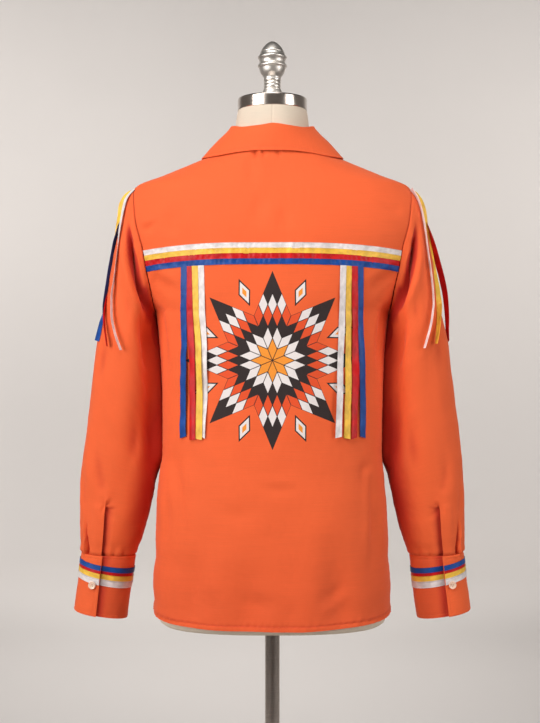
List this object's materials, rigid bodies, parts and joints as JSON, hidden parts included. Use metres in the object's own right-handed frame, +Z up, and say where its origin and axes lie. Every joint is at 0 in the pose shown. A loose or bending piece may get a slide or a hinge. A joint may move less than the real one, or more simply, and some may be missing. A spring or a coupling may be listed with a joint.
{
  "type": "ribbon shirt on a dress form",
  "caption": "Long-sleeved ribbon shirt with folded collar, cuffs, ribbon bands and hanging ribbons, worn by a limbless dress form on a pole and round base.",
  "frame": {"origin": "bottom of the base, on the floor at the middle of the part's box", "axes": "+Z up along the pole, +Y the way the wearer faces, +X the wearer's right"},
  "size_m": [0.5992, 0.4, 1.6565],
  "materials": {
    "shirt_cloth": "plain cotton blend, matt with a faint sheen",
    "ribbon_white": "satin ribbon",
    "ribbon_yellow": "satin ribbon",
    "ribbon_red": "satin ribbon",
    "ribbon_blue": "satin ribbon",
    "button": "polished",
    "form_cloth": "fine jersey cover, matt",
    "brushed_nickel": "brushed nickel plate",
    "stand_steel": "satin nickel plate"
  },
  "bodies": {
    "root": {"back": "shirt_cloth", "band_blue": "ribbon_blue", "band_red": "ribbon_red", "band_white": "ribbon_white", "band_yellow": "ribbon_yellow", "base": "stand_steel", "collar": "shirt_cloth", "cuff_button_left": "button", "cuff_button_right": "button", "cuff_left": "shirt_cloth", "cuff_ribbon_left_blue": "ribbon_blue", "cuff_ribbon_left_red": "ribbon_red", "cuff_ribbon_left_white": "ribbon_white", "cuff_ribbon_left_yellow": "ribbon_yellow", "cuff_ribbon_right_blue": "ribbon_blue", "cuff_ribbon_right_red": "ribbon_red", "cuff_ribbon_right_white": "ribbon_white", "cuff_ribbon_right_yellow": "ribbon_yellow", "cuff_right": "shirt_cloth", "finial": "brushed_nickel", "form_torso": "form_cloth", "front_button_1": "button", "front_button_2": "button", "front_button_3": "button", "front_button_4": "button", "front_button_5": "button", "front_button_6": "button", "front_left": "shirt_cloth", "front_right": "shirt_cloth", "neck_cap": "brushed_nickel", "pole": "stand_steel", "shoulder_ribbon_left_blue": "ribbon_blue", "shoulder_ribbon_left_red": "ribbon_red", "shoulder_ribbon_left_white": "ribbon_white", "shoulder_ribbon_left_yellow": "ribbon_yellow", "shoulder_ribbon_right_blue": "ribbon_blue", "shoulder_ribbon_right_red": "ribbon_red", "shoulder_ribbon_right_white": "ribbon_white", "shoulder_ribbon_right_yellow": "ribbon_yellow", "sleeve_left": "shirt_cloth", "sleeve_right": "shirt_cloth", "streamer_left_blue": "ribbon_blue", "streamer_left_red": "ribbon_red", "streamer_left_white": "ribbon_white", "streamer_left_yellow": "ribbon_yellow", "streamer_right_blue": "ribbon_blue", "streamer_right_red": "ribbon_red", "streamer_right_white": "ribbon_white", "streamer_right_yellow": "ribbon_yellow"}
  },
  "joints": []
}
